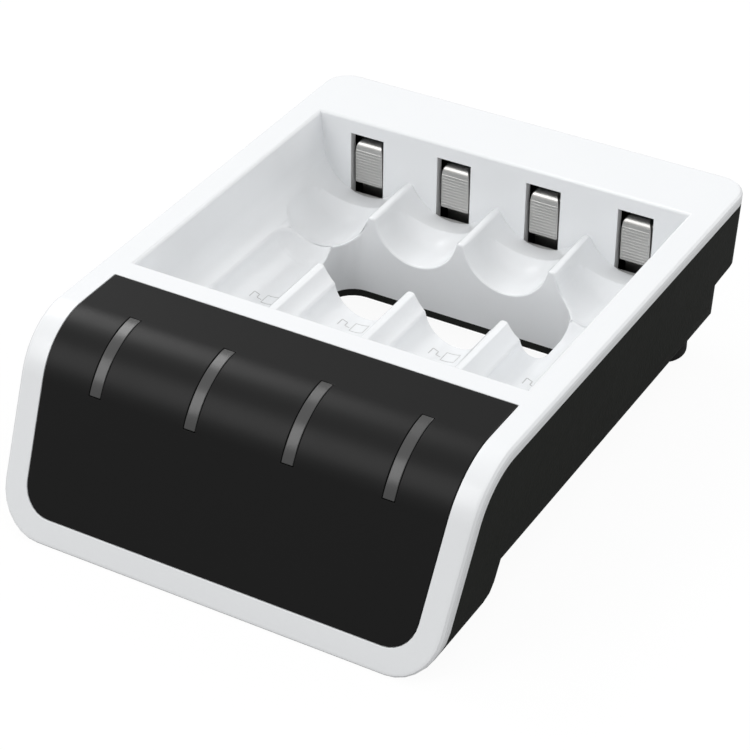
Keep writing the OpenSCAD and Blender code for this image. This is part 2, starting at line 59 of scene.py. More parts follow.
WELD = 0.002 * MM
SLIVER = 0.001 * MM
FLAT_ANGLE = math.radians(0.4)
SHARP_ANGLE = math.radians(24)
ROUND_ANGLE = math.radians(28)
TOOL_ANGLE = math.radians(35)
DRAWN_STRETCH = 0.04
FINE_SHARE = 9.0

logging.basicConfig(level=logging.INFO, format="%(message)s")
log = logging.getLogger("charger")

Triple = tuple[float, float, float]
Colour = Triple
Polyline = tuple[tuple[float, float], ...]
Socket = bpy.types.NodeSocket
Value = Union[Socket, float]
EdgeRule = Callable[[Vector, Vector, Vector], float]


class Noise(Enum):
    """Patterns that a surface's small variation can follow."""

    MOTTLE = "mottle"
    DRAWN_X = "drawn_x"
    DRAWN_Z = "drawn_z"


class NodeSheet:
    """Small helper that adds nodes to a tree and links them by name."""

    def __init__(self, tree: bpy.types.NodeTree) -> None:
        """Keep the tree that nodes are added to."""
        self.tree = tree

    @classmethod
    def fresh(cls, owner: Union[bpy.types.Material, bpy.types.World]) -> "NodeSheet":
        """Empty the tree of a material or a world.

        Args:
            owner: Material or world that the tree belongs to.

        Returns:
            The sheet of the empty tree.
        """
        owner.use_nodes = True
        owner.node_tree.nodes.clear()
        return cls(owner.node_tree)

    def add(self, kind: str, **settings: object) -> bpy.types.Node:
        """Add a node and set its properties.

        Args:
            kind: Blender's type name of the node.
            settings: Properties to set on the new node.

        Returns:
            The new node.
        """
        node = self.tree.nodes.new(kind)
        for name, value in settings.items():
            setattr(node, name, value)
        return node

    def link(self, source: Socket, target: Socket) -> None:
        """Join an output to an input."""
        self.tree.links.new(source, target)

    def scaled(self, source: Socket, low: float, high: float) -> Socket:
        """Spread a mask from 0 to 1 over another range.

        Args:
            source: Mask to spread.
            low: Value where the mask is 0.
            high: Value where the mask is 1.

        Returns:
            The output that carries the spread value.
        """
        spread = self.add("ShaderNodeMapRange")
        spread.inputs["To Min"].default_value = low
        spread.inputs["To Max"].default_value = high
        self.link(source, spread.inputs["Value"])
        return spread.outputs["Result"]

    def tinted(self, source: Socket, dark: Colour, light: Colour) -> Socket:
        """Colour a mask from dark to light.

        Args:
            source: Mask to colour.
            dark: Colour where the mask is 0.
            light: Colour where the mask is 1.

        Returns:
            The output that carries the colour.
        """
        mix = self.add("ShaderNodeMix", data_type="RGBA")
        mix.inputs["A"].default_value = (*dark, 1.0)
        mix.inputs["B"].default_value = (*light, 1.0)
        self.link(source, mix.inputs["Factor"])
        return mix.outputs["Result"]

    def mixed(self, share: Socket, one: Socket, other: Socket) -> Socket:
        """Mix two shaders.

        Args:
            share: Share of the second shader.
            one: First shader.
            other: Second shader.

        Returns:
            The output that carries the mix.
        """
        mix = self.add("ShaderNodeMixShader")
        for source, target in zip((share, one, other), mix.inputs):
            self.link(source, target)
        return mix.outputs["Shader"]


class SurfaceGroups:
    """Shader node groups that several finishes share."""

    BROAD_DETAIL = 3.0
    FINE_DETAIL = 2.0

    def __init__(self) -> None:
        """Build each group once."""
        self.variation = self._variation()
        self.grain = self._grain()

    @staticmethod
    def _new(name: str, inputs: Sequence[tuple[str, str, float]], outputs: Sequence[str]) -> NodeSheet:
        """Start a group with its sockets.

        Args:
            name: Name of the group.
            inputs: Name, socket type and default of each input.
            outputs: Name of each value output.

        Returns:
            The sheet of the new group.
        """
        tree = bpy.data.node_groups.new(name, "ShaderNodeTree")
        for label, kind, value in inputs:
            tree.interface.new_socket(label, in_out="INPUT", socket_type=kind).default_value = value
        for label in outputs:
            tree.interface.new_socket(label, in_out="OUTPUT", socket_type="NodeSocketFloat")
        return NodeSheet(tree)

    @staticmethod
    def _noise(sheet: NodeSheet, place: Socket, scale: Socket, detail: float) -> Socket:
        """Add cloudy noise.

        Args:
            sheet: Sheet of the group.
            place: Coordinates of the noise.
            scale: Scale of the noise.
            detail: Number of octaves.

        Returns:
            The output that carries the noise.
        """
        noise = sheet.add("ShaderNodeTexNoise")
        noise.inputs["Detail"].default_value = detail
        sheet.link(place, noise.inputs["Vector"])
        sheet.link(scale, noise.inputs["Scale"])
        return noise.outputs["Fac"]

    def _variation(self) -> bpy.types.NodeTree:
        """Cloudy mask at two scales, which may be stretched along an axis.

        Returns:
            The tree of the group.
        """
        sheet = self._new(
            "surface_variation",
            [
                ("Scale", "NodeSocketFloat", 60.0),
                ("Stretch X", "NodeSocketFloat", 1.0),
                ("Stretch Z", "NodeSocketFloat", 1.0),
            ],
            ["Mask", "Fine"],
        )
        given = sheet.add("NodeGroupInput")
        result = sheet.add("NodeGroupOutput")
        place = sheet.add("ShaderNodeTexCoord")
        stretch = sheet.add("ShaderNodeCombineXYZ")
        stretch.inputs["Y"].default_value = 1.0
        sheet.link(given.outputs["Stretch X"], stretch.inputs["X"])
        sheet.link(given.outputs["Stretch Z"], stretch.inputs["Z"])
        mapped = sheet.add("ShaderNodeMapping")
        sheet.link(place.outputs["Object"], mapped.inputs["Vector"])
        sheet.link(stretch.outputs["Vector"], mapped.inputs["Scale"])
        finer = sheet.add("ShaderNodeMath", operation="MULTIPLY")
        finer.inputs[1].default_value = FINE_SHARE
        sheet.link(given.outputs["Scale"], finer.inputs[0])
        vector = mapped.outputs["Vector"]
        broad = self._noise(sheet, vector, given.outputs["Scale"], self.BROAD_DETAIL)
        fine = self._noise(sheet, vector, finer.outputs["Value"], self.FINE_DETAIL)
        sheet.link(broad, result.inputs["Mask"])
        sheet.link(fine, result.inputs["Fine"])
        return sheet.tree

    def _grain(self) -> bpy.types.NodeTree:
        """Height of a fine moulded grain.

        Returns:
            The tree of the group.
        """
        sheet = self._new("moulded_grain", [("Scale", "NodeSocketFloat", 3000.0)], ["Height"])
        given = sheet.add("NodeGroupInput")
        result = sheet.add("NodeGroupOutput")
        place = sheet.add("ShaderNodeTexCoord")
        cells = sheet.add("ShaderNodeTexVoronoi", feature="SMOOTH_F1")
        sheet.link(place.outputs["Object"], cells.inputs["Vector"])
        sheet.link(given.outputs["Scale"], cells.inputs["Scale"])
        sheet.link(cells.outputs["Distance"], result.inputs["Height"])
        return sheet.tree


@dataclass(frozen=True)
class Finish:
    """A surface finish whose colour, gloss and relief vary a little over the piece."""

    name: str
    dark: Colour
    light: Colour
    gloss: tuple[float, float]
    metallic: float = 0.0
    specular: float = 0.5
    noise: Noise = Noise.MOTTLE
    noise_scale: float = 60.0
    grain_scale: float = 3000.0
    grain_depth: float = 0.0

    def material(self, groups: SurfaceGroups) -> bpy.types.Material:
        """Build the material of this finish.

        Args:
            groups: Shader groups that the finish uses.

        Returns:
            The new material.
        """
        made = bpy.data.materials.new(self.name)
        sheet = NodeSheet.fresh(made)
        result = sheet.add("ShaderNodeOutputMaterial")
        shader = sheet.add("ShaderNodeBsdfPrincipled")
        shader.inputs["Metallic"].default_value = self.metallic
        shader.inputs["Specular IOR Level"].default_value = self.specular
        sheet.link(shader.outputs["BSDF"], result.inputs["Surface"])
        variation = sheet.add("ShaderNodeGroup", node_tree=groups.variation)
        variation.inputs["Scale"].default_value = self.noise_scale
        variation.inputs["Stretch X"].default_value = DRAWN_STRETCH if self.noise is Noise.DRAWN_X else 1.0
        variation.inputs["Stretch Z"].default_value = DRAWN_STRETCH if self.noise is Noise.DRAWN_Z else 1.0
        tone = sheet.tinted(variation.outputs["Mask"], self.dark, self.light)
        sheet.link(tone, shader.inputs["Base Color"])
        sheet.link(sheet.scaled(variation.outputs["Fine"], *self.gloss), shader.inputs["Roughness"])
        if self.grain_depth:
            grain = sheet.add("ShaderNodeGroup", node_tree=groups.grain)
            grain.inputs["Scale"].default_value = self.grain_scale
            bump = sheet.add("ShaderNodeBump")
            bump.inputs["Distance"].default_value = self.grain_depth
            sheet.link(grain.outputs["Height"], bump.inputs["Height"])
            sheet.link(bump.outputs["Normal"], shader.inputs["Normal"])
        return made


def grey(value: float) -> Colour:
    """Neutral colour of one value."""
    return (value, value, value)


FINISHES = (
    Finish("cover_white", (0.848, 0.862, 0.876), (0.87, 0.884, 0.898), (0.2, 0.28),
           grain_scale=2600.0, grain_depth=0.004 * MM),
    # painted shade: the groove marks are the cover's white, greyed to stand for the small shadows of their
    # moulded lines
    Finish("mark_painted_shade", grey(0.5), grey(0.58), (0.4, 0.5), noise_scale=400.0),
    # painted shade: the white reveals of the contact windows, greyed to stand for the shade deep inside the
    # windows
    Finish("reveal_painted_shade", grey(0.52), grey(0.6), (0.45, 0.55), noise_scale=300.0),
    Finish("base_black", (0.0203, 0.0213, 0.0196), (0.0244, 0.0256, 0.0236), (0.55, 0.66),
           specular=0.03, grain_scale=2200.0, grain_depth=0.03 * MM),
    Finish("panel_black", grey(0.0035), grey(0.0045), (0.33, 0.37), specular=0.2, noise_scale=30.0),
    Finish("light_guide", grey(0.047), grey(0.058), (0.2, 0.27), noise_scale=220.0),
    Finish("contact_nickel", (0.46, 0.455, 0.44), (0.55, 0.545, 0.53), (0.28, 0.37), metallic=1.0,
           noise=Noise.DRAWN_X, noise_scale=400.0),
    Finish("foot_rubber", grey(0.014), grey(0.022), (0.75, 0.9), specular=0.3,
           grain_scale=1800.0, grain_depth=0.03 * MM),
    Finish("board_green", (0.012, 0.085, 0.035), (0.02, 0.14, 0.06), (0.3, 0.42), noise_scale=160.0),
    Finish("chip_black", grey(0.012), grey(0.02), (0.5, 0.65),
           grain_scale=4000.0, grain_depth=0.02 * MM),
    Finish("led_body", (0.72, 0.7, 0.52), (0.8, 0.79, 0.65), (0.12, 0.2), noise_scale=300.0),
    Finish("choke_ferrite", grey(0.035), grey(0.06), (0.55, 0.75),
           grain_scale=3500.0, grain_depth=0.03 * MM),
    Finish("capacitor_can", grey(0.62), grey(0.74), (0.24, 0.36), metallic=1.0, noise=Noise.DRAWN_Z,
           noise_scale=300.0),
    Finish("rail_black", grey(0.015), grey(0.022), (0.5, 0.6), grain_depth=0.02 * MM),
    Finish("socket_steel", grey(0.5), grey(0.62), (0.25, 0.4), metallic=1.0, noise_scale=300.0),
    Finish("screw_steel", grey(0.42), grey(0.55), (0.28, 0.42), metallic=1.0, noise_scale=400.0),
    Finish("tin_lead", grey(0.6), grey(0.7), (0.25, 0.35), metallic=1.0, noise_scale=500.0),
    Finish("gold_pad", (0.72, 0.52, 0.22), (0.82, 0.62, 0.3), (0.25, 0.35),
           metallic=1.0, noise_scale=500.0),
    Finish("copper_wire", (0.55, 0.23, 0.1), (0.66, 0.3, 0.14), (0.25, 0.38),
           metallic=1.0, noise_scale=500.0),
)


class Workshop:
    """Materials by name, and the calls that place a finished piece on the part."""

    def __init__(self) -> None:
        """Build every finish once."""
        groups = SurfaceGroups()
        self.materials = {finish.name: finish.material(groups) for finish in FINISHES}

    def dress_node(self, node: str, finish: str) -> None:
        """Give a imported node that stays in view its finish.

        Args:
            node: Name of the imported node.
            finish: Name of its finish.
        """
        for entry in frame["nodes"][node].material_slots:
            entry.material = self.materials[finish]
        log.info("dressed %s", node)

    def place(self, piece: bpy.types.Object, body: str, slot: str, replaced: Sequence[str] = ()) -> None:
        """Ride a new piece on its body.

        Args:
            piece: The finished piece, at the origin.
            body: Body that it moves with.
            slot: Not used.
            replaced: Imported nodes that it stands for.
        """
        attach(piece, body)
        if replaced:
            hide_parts(*replaced)
        log.info("placed %s on %s, %d faces", piece.name, body, len(piece.data.polygons))


def linked(name: str, mesh: bpy.types.Mesh) -> bpy.types.Object:
    """Put a mesh into the scene as a new object.

    Args:
        name: Name of the object.
        mesh: Mesh of the object.

    Returns:
        The new object, at the origin.
    """
    made = bpy.data.objects.new(name, mesh)
    bpy.context.scene.collection.objects.link(made)
    return made


def baked(
    source: bpy.types.Object, name: str, material: Optional[bpy.types.Material] = None
) -> bpy.types.Object:
    """Turn an object with modifiers into a plain mesh object and remove the source.

    Args:
        source: Object whose evaluated mesh is kept.
        name: Name of the plain object.
        material: Material of the plain object, or None to keep its own.

    Returns:
        The plain object, with no modifiers.
    """
    graph = bpy.context.evaluated_depsgraph_get()
    mesh = bpy.data.meshes.new_from_object(source.evaluated_get(graph), depsgraph=graph)
    bpy.data.objects.remove(source)
    mesh.name = name
    if material is not None:
        mesh.materials.clear()
        mesh.materials.append(material)
    return linked(name, mesh)


def shaded(source: bpy.types.Object, name: str) -> bpy.types.Object:
    """Shade a plain mesh so that large flat faces look flat beside small round ones.

    Args:
        source: Object with a plain mesh.
        name: Name of the shaded object.

    Returns:
        The shaded object, with no modifiers.
    """
    source.data.set_sharp_from_angle(angle=SHARP_ANGLE)
    shading = source.modifiers.new("shading", "WEIGHTED_NORMAL")
    shading.keep_sharp = True
    return baked(source, name)


def smooth_faces(mesh: bpy.types.Mesh) -> None:
    """Set every face of a mesh to smooth shading."""
    for face in mesh.polygons:
        face.use_smooth = True


def welded(node: str) -> bmesh.types.BMesh:
    """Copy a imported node's mesh with its seams welded and its flat faces joined.

    Args:
        node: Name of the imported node.

    Returns:
        The mesh to work on, which the caller frees.
    """
    work = bmesh.new()
    work.from_mesh(frame["nodes"][node].data)
    bmesh.ops.remove_doubles(work, verts=work.verts, dist=WELD)
    bmesh.ops.dissolve_degenerate(work, dist=SLIVER, edges=work.edges)
    bmesh.ops.dissolve_limit(work, angle_limit=FLAT_ANGLE, verts=work.verts, edges=work.edges)
    return work


def slot_centres() -> list[float]:
    """Place of each slot's middle across the part."""
    return [sum(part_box(f"rear_contact_{n}"), Vector()).x / 2 for n in SLOTS]


def even(radius: float) -> EdgeRule:
    """Rule that gives every edge the same radius."""
    return lambda middle, one, other: radius


@dataclass
class SoftCopy:
    """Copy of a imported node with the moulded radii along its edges."""

    node: str
    rule: EdgeRule
    widest: float
    segments: int = 3
    shift: Optional[Callable[[Vector], Vector]] = None

    def build(self, material: bpy.types.Material) -> bpy.types.Object:
        """Copy, round and shade the node's mesh.

        Args:
            material: Finish of the copy.

        Returns:
            The rounded copy, ready to ride.
        """
        mesh = bpy.data.meshes.new(self.node + "_soft")
        work = welded(self.node)
        if self.shift is not None:
            for vertex in work.verts:
                vertex.co += self.shift(vertex.co)
            work.normal_update()
        weights = work.edges.layers.float.new("bevel_weight_edge")
        for edge in work.edges:
            if edge.is_manifold and edge.is_convex and edge.calc_face_angle(0.0) > ROUND_ANGLE:
                middle = (edge.verts[0].co + edge.verts[1].co) / 2
                one, other = (face.normal for face in edge.link_faces)
                edge[weights] = min(1.0, self.rule(middle, one, other) / self.widest)
        work.to_mesh(mesh)
        work.free()
        smooth_faces(mesh)
        copy = linked(self.node + "_work", mesh)
        rounding = copy.modifiers.new("rounding", "BEVEL")
        rounding.limit_method = "WEIGHT"
        rounding.width = self.widest
        rounding.segments = self.segments
        rounding.use_clamp_overlap = False
        rounding.miter_outer = "MITER_ARC"
        rounding.loop_slide = False
        return shaded(baked(copy, self.node + "_rounded", material), self.node + "_soft")


@dataclass
class HousingShape:
    """Outer form of the housing, in metres."""

    crown_radius: float = 11.988 * MM
    front_slant: float = math.radians(24.8)
    side_draft: float = math.radians(2.9)

    def __post_init__(self) -> None:
        """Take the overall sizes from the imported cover."""
        low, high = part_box("top_cover")
        self.half_width = high.x
        self.height = high.z
        self.front = low.y
        self.back = high.y
        crown_z = self.height - self.crown_radius
        lean = crown_z * math.tan(self.front_slant) + self.crown_radius / math.cos(self.front_slant)
        self.crown = Vector((0, self.front + lean, crown_z))

    def depth(self, point: Vector) -> float:
        """Depth of a point under the top, the crown or the front face.

        Args:
            point: Point in the part's frame.

        Returns:
            The depth, which is 0 on the skin.
        """
        y = point.y - self.crown.y
        z = point.z - self.crown.z
        if y >= 0:
            return self.crown_radius - z
        slant = math.atan2(z, -y)
        if slant > self.front_slant:
            return self.crown_radius - math.hypot(y, z)
        return self.crown_radius + y * math.cos(self.front_slant) - z * math.sin(self.front_slant)

    def side(self, z: float) -> float:
        """Half width of the housing at a height."""
        return self.half_width - (self.height - z) * math.tan(self.side_draft)


@dataclass
class Cover:
    """White cover with the battery tray."""

    shape: HousingShape
    outer_radius: float = 0.9 * MM
    rim_radius: float = 0.55 * MM
    ridge_radius: float = 0.4 * MM
    pocket_radius: float = 0.14 * MM
    window_radius: float = 0.15 * MM
    seam_radius: float = 0.12 * MM
    near: float = 0.06 * MM
    panel_margin: float = 0.3 * MM
    panel_end: float = 0.5 * MM
    frame_foot: float = 9 * MM
    rim_band: float = 5 * MM
    wall: float = 1.5 * MM
    rear_rim: float = 3 * MM
    window_face: float = 0.3 * MM
    window_skin: float = 0.6 * MM
    window_half: float = 3.2 * MM
    # depths and lowest height of the window reveals that get painted shade
    reveal_start: float = 0.4 * MM
    reveal_end: float = 2.5 * MM
    reveal_low: float = 14 * MM
    tread: float = 6.5 * MM
    ridge_drop: float = 1 * MM
    opening_wall: float = 2 * MM
    front_facing: float = 0.85
    up_facing: float = 0.9

    def __post_init__(self) -> None:
        """Take the bay's place from the record's openings and the panel's from its box."""
        openings = {entry["name"]: entry["box_m"] for entry in frame["record"]["physics"]["openings"]}
        self.bay_low, self.bay_high = (Vector(corner) for corner in openings["battery_bay"])
        self.hole_back = openings["finger_opening"][1][1] + self.opening_wall
        self.panel_low, self.panel_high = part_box("front_panel")
        self.slots = slot_centres()

    def edge_radius(self, middle: Vector, one: Vector, other: Vector) -> float:
        """Radius that the moulding has along an edge.

        Args:
            middle: Middle of the edge.
            one: Normal of the face on one side.
            other: Normal of the face on the other side.

        Returns:
            The radius, or 0 for an edge that stays sharp.
        """
        shape = self.shape
        bay_back = self.bay_high.y
        on_skin = abs(shape.depth(middle)) < self.near
        on_side = shape.side(middle.z) - abs(middle.x) < self.near
        on_top = on_skin and max(one.z, other.z) > self.up_facing
        on_back = on_top and shape.back - middle.y < self.rim_band
        in_bay = abs(middle.x) < self.bay_high.x + self.wall and middle.y > self.bay_low.y - self.rim_band
        if on_skin and middle.y < self.panel_high.y + self.panel_end:
            at_foot = middle.z < self.frame_foot and min(one.y, other.y) < -self.front_facing
            outer = on_side or (at_foot and not self._in_panel(middle))
            return self.outer_radius if outer else self.seam_radius
        if on_skin and (on_side or (on_back and not in_bay) or middle.y > bay_back + self.rear_rim):
            return self.outer_radius
        if not in_bay or middle.y > bay_back + self.window_skin or middle.z < self.frame_foot:
            return 0.0
        if on_skin:
            return self.rim_radius
        if middle.y > bay_back - self.window_face and self._beside_window(middle.x):
            return self.window_radius
        below_ridges = middle.z < self.bay_low.z - self.ridge_drop
        if middle.y < self.bay_low.y + self.tread:
            return self.seam_radius if below_ridges else 2 * self.seam_radius
        if middle.y > self.hole_back and below_ridges:
            return self.pocket_radius
        return self.ridge_radius

    def _in_panel(self, point: Vector) -> bool:
        """Whether a point of the front frame lies at the panel's recess."""
        across = abs(point.x) < self.panel_high.x + self.panel_margin
        return across and point.z > self.panel_low.z - self.panel_margin

    def _beside_window(self, x: float) -> bool:
        """Whether a place across the bay lies at a contact window."""
        return any(abs(x - slot) < self.window_half for slot in self.slots)

    def build(self, shop: Workshop) -> None:
        """Round the cover, paint shade on the reveals of its contact windows and put it in place.

        Args:
            shop: Materials and the calls that place a piece.
        """
        soft = SoftCopy("top_cover", self.edge_radius, self.outer_radius)
        cover = soft.build(shop.materials["cover_white"])
        # second material: painted shade on the deep reveals beside the contact windows
        cover.data.materials.append(shop.materials["reveal_painted_shade"])
        for face in cover.data.polygons:
            depth = face.center.y - self.bay_high.y
            deep = self.reveal_start < depth < self.reveal_end
            if deep and face.center.z > self.reveal_low and self._beside_window(face.center.x):
                face.material_index = 1
        shop.place(cover, HOUSING, "cover_white", ["top_cover"])


@dataclass
class FrontPanel:
    """Black inlay over the crown, and its light bars."""

    seam_radius: float = 0.1 * MM

    def build(self, shop: Workshop) -> None:
        """Round the panel and the bars and put them in place.

        Args:
            shop: Materials and the calls that place a piece.
        """
        panel = SoftCopy("front_panel", even(self.seam_radius), self.seam_radius, segments=2)
        shop.place(panel.build(shop.materials["panel_black"]), HOUSING, "panel_black", ["front_panel"])
        for n in SLOTS:
            bar = SoftCopy(f"light_bar_{n}", even(self.seam_radius), self.seam_radius, segments=2)
            shop.place(bar.build(shop.materials["light_guide"]), HOUSING, "light_guide", [f"light_bar_{n}"])


@dataclass
class Base:
    """Black base shell and its rubber feet."""

    shape: HousingShape
    edge: float = 0.5 * MM
    seam: float = 0.12 * MM
    seam_depth: float = 2.1 * MM
    side_band: float = 1 * MM
    back_band: float = 0.1 * MM
    skirt_edge: tuple[float, float] = (14 * MM, 15.2 * MM)

    def edge_radius(self, middle: Vector, one: Vector, other: Vector) -> float:
        """Radius along an edge of the base.

        Args:
            middle: Middle of the edge.
            one: Normal of the face on one side.
            other: Normal of the face on the other side.

        Returns:
            The radius, or 0 for an edge that stays sharp.
        """
        shape = self.shape
        at_side = shape.side(middle.z) - abs(middle.x) < self.side_band
        if not at_side and middle.y <= shape.back - self.back_band:
            return 0.0
        if middle.z > shape.height - self.seam_depth:
            return self.seam
        low, high = self.skirt_edge
        return self.edge if low < middle.z < high else 0.0

    def build(self, shop: Workshop) -> None:
        """Round the base and put it in place, and dress the feet.

        Args:
            shop: Materials and the calls that place a piece.
        """
        soft = SoftCopy("base_shell", self.edge_radius, self.edge)
        shop.place(soft.build(shop.materials["base_black"]), HOUSING, "base_black", ["base_shell"])
        for side in ("left", "right"):
            shop.dress_node(f"rear_foot_{side}", "foot_rubber")


class NodeTool:
    """Geometry node tree with named inputs that makes one plain mesh."""

    def __init__(self, name: str, inputs: Sequence[tuple[str, str]]) -> None:
        """Start the tree.

        Args:
            name: Name of the tree.
            inputs: Name and socket type of each input besides the points and the material.
        """
        self.tree = bpy.data.node_groups.new(name, "GeometryNodeTree")
        self.tree.interface.new_socket("Points", in_out="INPUT", socket_type="NodeSocketGeometry")
        for label, kind in (*inputs, ("Material", "NodeSocketMaterial")):
            self.tree.interface.new_socket(label, in_out="INPUT", socket_type=kind)
        self.tree.interface.new_socket("Geometry", in_out="OUTPUT", socket_type="NodeSocketGeometry")
        self.sheet = NodeSheet(self.tree)
        self.given = self.sheet.add("NodeGroupInput").outputs

    def swept(self, path: Socket, radius: Socket, sides: int) -> Socket:
        """Sweep a round section along a path.

        Args:
            path: Curve to follow.
            radius: Radius of the section.
            sides: Number of sides of the section.

        Returns:
            The output that carries the closed tube.
        """
        sheet = self.sheet
        section = sheet.add("GeometryNodeCurvePrimitiveCircle")
        section.inputs["Resolution"].default_value = sides
        sheet.link(radius, section.inputs["Radius"])
        tube = sheet.add("GeometryNodeCurveToMesh")
        tube.inputs["Fill Caps"].default_value = True
        sheet.link(path, tube.inputs["Curve"])
        sheet.link(section.outputs["Curve"], tube.inputs["Profile Curve"])
        return tube.outputs["Mesh"]

    def close(self, points: Socket, piece: Socket, turn: Triple = (0.0, 0.0, 0.0)) -> None:
        """Put the piece at every point, realize it, set the material and end the tree.

        Args:
            points: Places of the copies.
            piece: Mesh to copy.
            turn: Rotation of each copy.
        """
        sheet = self.sheet
        copies = sheet.add("GeometryNodeInstanceOnPoints")
        copies.inputs["Rotation"].default_value = turn
        sheet.link(points, copies.inputs["Points"])
        sheet.link(piece, copies.inputs["Instance"])
        real = sheet.add("GeometryNodeRealizeInstances")
        sheet.link(copies.outputs["Instances"], real.inputs["Geometry"])
        dressed = sheet.add("GeometryNodeSetMaterial")
        sheet.link(real.outputs["Geometry"], dressed.inputs["Geometry"])
        sheet.link(self.given["Material"], dressed.inputs["Material"])
        result = sheet.add("NodeGroupOutput")
        sheet.link(dressed.outputs["Geometry"], result.inputs["Geometry"])

    def build(self, name: str, points: Sequence[Vector], values: dict[str, object],
              edges: Sequence[tuple[int, int]] = ()) -> bpy.types.Object:
        """Run the tree once.

        Args:
            name: Name of the piece.
            points: Places that the tree works on.
            values: Value of each named input.
            edges: Lines between the points, where the tree follows a path.

        Returns:
            The piece as a plain mesh, with no modifier.
        """
        mesh = bpy.data.meshes.new(name + "_work")
        mesh.from_pydata([tuple(point) for point in points], list(edges), [])
        carrier = linked(name + "_work", mesh)
        modifier = carrier.modifiers.new("tool", "NODES")
        modifier.node_group = self.tree
        for entry in self.tree.interface.items_tree:
            if entry.in_out == "INPUT" and entry.name in values:
                modifier[entry.identifier] = values[entry.name]
        made = baked(carrier, name)
        smooth_faces(made.data)
        made.data.set_sharp_from_angle(angle=TOOL_ANGLE)
        return made


class RodRow(NodeTool):
    """Rods along X, one at each point."""

    SIDES = 16

    def __init__(self) -> None:
        """Build the tree."""
        super().__init__("rod_row", (("Length", "NodeSocketFloat"), ("Radius", "NodeSocketFloat")))
        sheet = self.sheet
        rod = sheet.add("GeometryNodeMeshCylinder")
        rod.inputs["Vertices"].default_value = self.SIDES
        sheet.link(self.given["Radius"], rod.inputs["Radius"])
        sheet.link(self.given["Length"], rod.inputs["Depth"])
        self.close(self.given["Points"], rod.outputs["Mesh"], (0.0, math.pi / 2, 0.0))


class BoxRow(NodeTool):
    """Small boxes of one size, one at each point."""

    def __init__(self) -> None:
        """Build the tree."""
        super().__init__("box_row", (("Size", "NodeSocketVector"),))
        sheet = self.sheet
        box = sheet.add("GeometryNodeMeshCube")
        sheet.link(self.given["Size"], box.inputs["Size"])
        self.close(self.given["Points"], box.outputs["Mesh"])


class GrooveLines(NodeTool):
    """Raised lines that follow drawn paths over the floor of each groove."""

    POINT_GAP = 0.2 * MM
    SIDES = 8

    def __init__(self) -> None:
        """Build the tree."""
        super().__init__("groove_lines", (
            ("Groove Radius", "NodeSocketFloat"),
            ("Axis Height", "NodeSocketFloat"),
            ("Line Radius", "NodeSocketFloat"),
            ("First Slot", "NodeSocketFloat"),
            ("Slot Pitch", "NodeSocketFloat"),
            ("Slots", "NodeSocketInt"),
        ))
        sheet = self.sheet
        drawn = sheet.add("GeometryNodeMeshToCurve")
        sheet.link(self.given["Points"], drawn.inputs["Mesh"])
        even = sheet.add("GeometryNodeResampleCurve", mode="LENGTH")
        even.inputs["Length"].default_value = self.POINT_GAP
        sheet.link(drawn.outputs["Curve"], even.inputs["Curve"])
        laid = sheet.add("GeometryNodeSetPosition")
        sheet.link(even.outputs["Curve"], laid.inputs["Geometry"])
        sheet.link(self._on_floor(), laid.inputs["Position"])
        line = self.swept(laid.outputs["Geometry"], self.given["Line Radius"], self.SIDES)
        start = sheet.add("ShaderNodeCombineXYZ")
        sheet.link(self.given["First Slot"], start.inputs["X"])
        step = sheet.add("ShaderNodeCombineXYZ")
        sheet.link(self.given["Slot Pitch"], step.inputs["X"])
        row = sheet.add("GeometryNodeMeshLine", mode="OFFSET")
        sheet.link(self.given["Slots"], row.inputs["Count"])
        sheet.link(start.outputs["Vector"], row.inputs["Start Location"])
        sheet.link(step.outputs["Vector"], row.inputs["Offset"])
        self.close(row.outputs["Mesh"], line)

    def _math(self, operation: str, one: Value, other: Value = 0.0) -> Socket:
        """Join two sockets or numbers with one operation.

        Args:
            operation: Blender's name of the operation.
            one: First socket or number.
            other: Second socket or number, where the operation takes one.

        Returns:
            The output that carries the result.
        """
        node = self.sheet.add("ShaderNodeMath", operation=operation)
        for target, value in zip(node.inputs, (one, other)):
            if isinstance(value, Socket):
                self.sheet.link(value, target)
            else:
                target.default_value = value
        return node.outputs["Value"]

    def _on_floor(self) -> Socket:
        """Position of a path's point, let down to the groove's round floor.

        Returns:
            The output that carries the position.
        """
        sheet = self.sheet
        place = sheet.add("GeometryNodeInputPosition")
        parts = sheet.add("ShaderNodeSeparateXYZ")
        sheet.link(place.outputs["Position"], parts.inputs["Vector"])
        across = self._math("POWER", parts.outputs["X"], 2.0)
        radius = self._math("POWER", self.given["Groove Radius"], 2.0)
        drop = self._math("SQRT", self._math("SUBTRACT", radius, across))
        joined = sheet.add("ShaderNodeCombineXYZ")
        sheet.link(parts.outputs["X"], joined.inputs["X"])
        sheet.link(parts.outputs["Y"], joined.inputs["Y"])
        sheet.link(self._math("SUBTRACT", self.given["Axis Height"], drop), joined.inputs["Z"])
        return joined.outputs["Vector"]


class FlatCoil(NodeTool):
    """Wire wound in a flat spiral round each point."""

    TURN_STEPS = 32
    SIDES = 10

    def __init__(self) -> None:
        """Build the tree."""
        super().__init__("flat_coil", (
            ("Turns", "NodeSocketFloat"),
            ("Inner Radius", "NodeSocketFloat"),
            ("Outer Radius", "NodeSocketFloat"),
            ("Wire Radius", "NodeSocketFloat"),
        ))
        sheet = self.sheet
        path = sheet.add("GeometryNodeCurveSpiral")
        path.inputs["Resolution"].default_value = self.TURN_STEPS
        path.inputs["Height"].default_value = 0.0
        sheet.link(self.given["Turns"], path.inputs["Rotations"])
        sheet.link(self.given["Inner Radius"], path.inputs["Start Radius"])
        sheet.link(self.given["Outer Radius"], path.inputs["End Radius"])
        wire = self.swept(path.outputs["Curve"], self.given["Wire Radius"], self.SIDES)
        self.close(self.given["Points"], wire)


